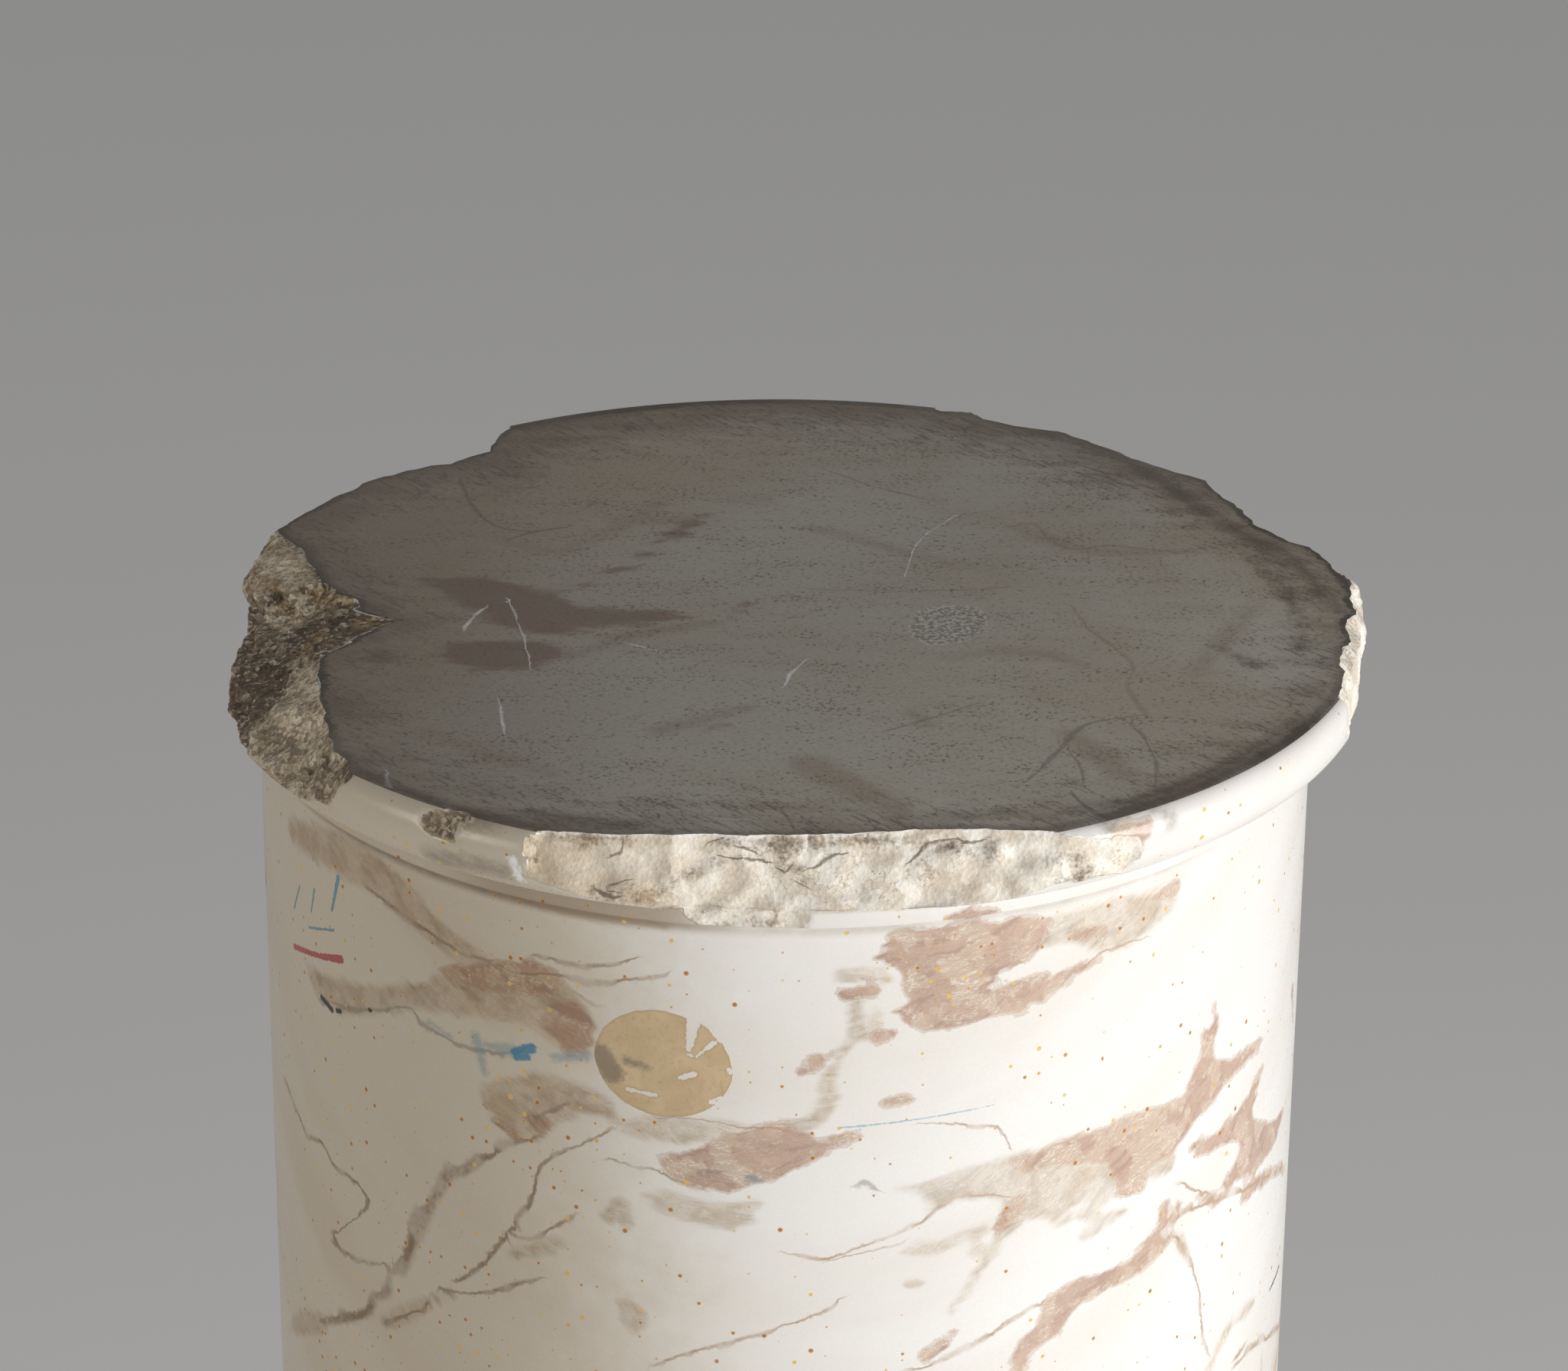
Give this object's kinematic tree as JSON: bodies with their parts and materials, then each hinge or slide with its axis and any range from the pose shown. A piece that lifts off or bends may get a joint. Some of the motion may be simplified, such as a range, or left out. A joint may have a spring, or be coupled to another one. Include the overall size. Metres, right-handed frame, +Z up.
{
  "type": "marble column shaft",
  "caption": "Round marble column shaft with a moulded bead and fillet at its broken head, a plain foot fillet and flat ends, standing by its own weight.",
  "frame": {"origin": "middle of the flat underside, the plane the column stands on", "axes": "+Z up along the shaft, -Y towards the front with the long break of the rim, +X to its right"},
  "size_m": [0.336, 0.336, 1.1],
  "materials": {
    "marble": "polished white marble with mauve veins, rough broken rim"
  },
  "bodies": {
    "root": {"column_shaft": "marble"}
  },
  "joints": []
}
